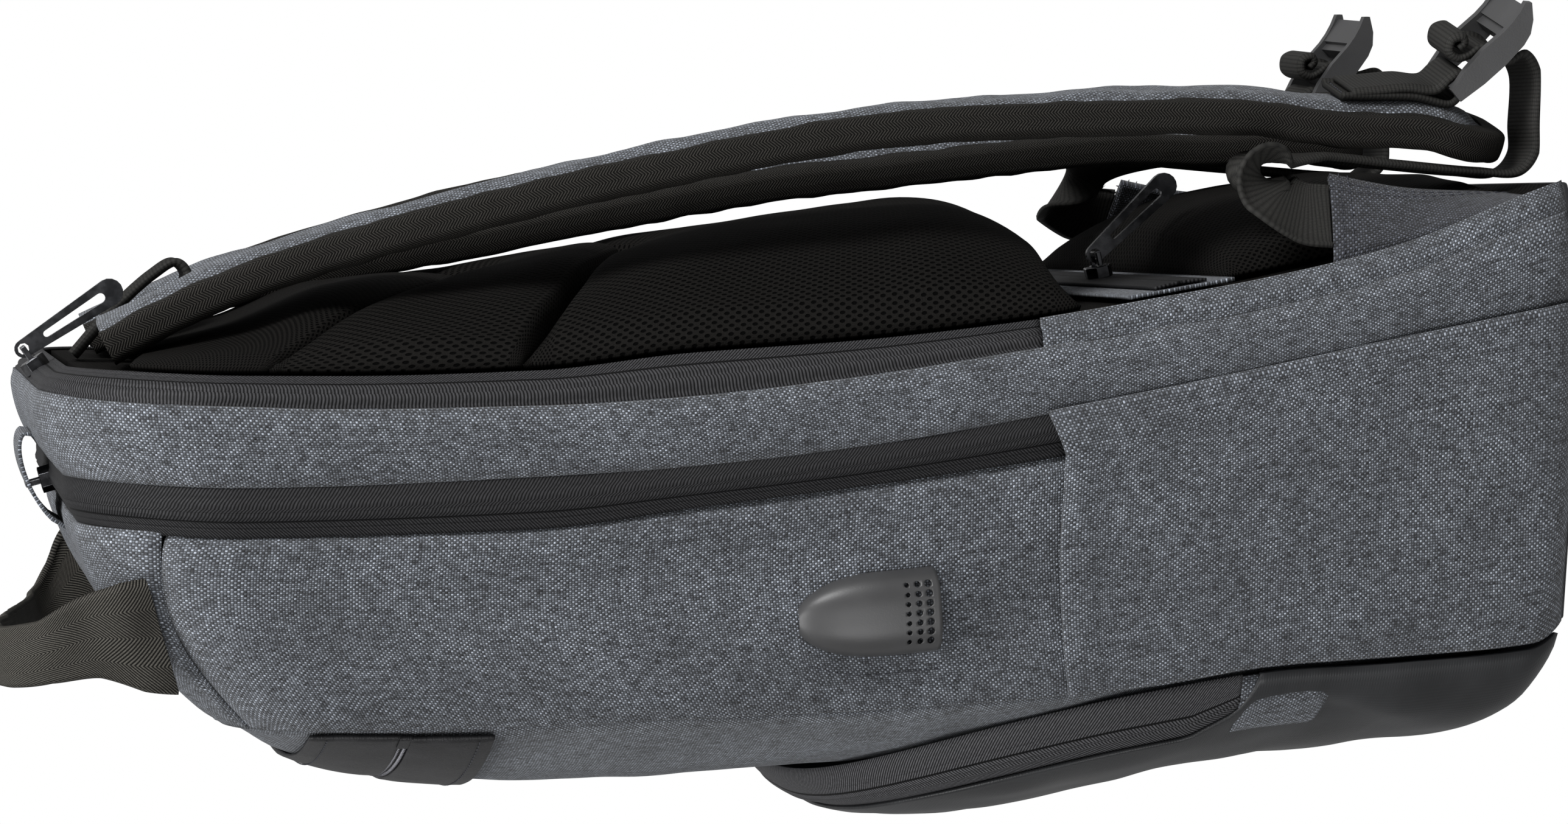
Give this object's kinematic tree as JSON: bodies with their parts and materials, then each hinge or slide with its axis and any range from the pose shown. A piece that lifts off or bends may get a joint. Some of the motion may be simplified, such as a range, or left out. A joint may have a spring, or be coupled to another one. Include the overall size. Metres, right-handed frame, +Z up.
{
  "type": "anti theft backpack",
  "caption": "Slim upright fabric backpack with laptop and main zips, domed front pocket, side slip pockets, USB hood, padded back, two straps and a haul handle.",
  "frame": {"origin": "middle of the base, on the floor", "axes": "+Z up, +Y towards the straps and the wearer's back, +X towards the side with the USB hood"},
  "size_m": [0.3246, 0.2808, 0.5015],
  "materials": {
    "heathered": "two-tone blue-grey heathered plain weave, matte",
    "zip_tape": "black twill tape with a reversed coil, matte",
    "webbing": "black ribbed webbing, matte",
    "binding": "black herringbone tape, matte",
    "spacer_mesh": "black airmesh with small hexagonal holes, matte",
    "tarpaulin": "dark grey coated cloth, semi-gloss",
    "leather": "black leather, fine grain, satin",
    "plastic": "satin black acetal",
    "nickel": "glossy dark nickel"
  },
  "bodies": {
    "bag": {"laptop_zip": "zip_tape", "laptop_band": "heathered", "main_zip": "zip_tape", "side_panel_hood_side": "heathered", "side_panel_far_side": "heathered", "side_pocket_hood_side": "heathered", "side_pocket_far_side": "heathered", "front_panel": "heathered", "leather_surround": "leather", "front_zip": "zip_tape", "pocket_zip": "zip_tape", "pocket_face": "tarpaulin", "pocket_zip_tab_hood_side": "heathered", "pocket_zip_tab_far_side": "heathered", "base_panel": "tarpaulin", "back_panel": "spacer_mesh", "back_pad_top": "spacer_mesh", "back_pad_upper": "spacer_mesh", "back_pad_lower": "spacer_mesh", "back_pad_base": "spacer_mesh", "back_pocket_lining": "heathered", "back_pocket_zip": "zip_tape", "laptop_slider": "nickel", "back_pocket_slider": "nickel", "main_slider": "nickel", "zip_garage": "heathered", "strap_hood_side": "heathered", "strap_far_side": "heathered", "strap_binding_hood_side": "binding", "strap_binding_far_side": "binding", "wing_hood_side": "heathered", "wing_far_side": "heathered", "lock_hood_side": "plastic", "lock_far_side": "plastic", "strap_webbing_hood_side": "webbing", "strap_webbing_far_side": "webbing", "adjuster_hood_side": "webbing", "adjuster_far_side": "webbing", "hang_loop": "webbing", "haul_handle": "webbing", "usb_hood": "plastic", "usb_port": "plastic"},
    "laptop_pull": {"laptop_pull": "nickel"},
    "back_pocket_pull": {"back_pocket_pull": "nickel"}
  },
  "joints": [
    {"name": "laptop_pull_swing", "type": "hinge", "parent": "bag", "child": "laptop_pull", "pos_m": [0.02, 0.01797, 0.48866], "axis": [1, 0, 0], "range_deg": [0, 178]},
    {"name": "back_pocket_pull_swing", "type": "hinge", "parent": "bag", "child": "back_pocket_pull", "pos_m": [0.042, 0.05191, 0.13153], "axis": [1, 0, 0], "range_deg": [0, 90]}
  ]
}
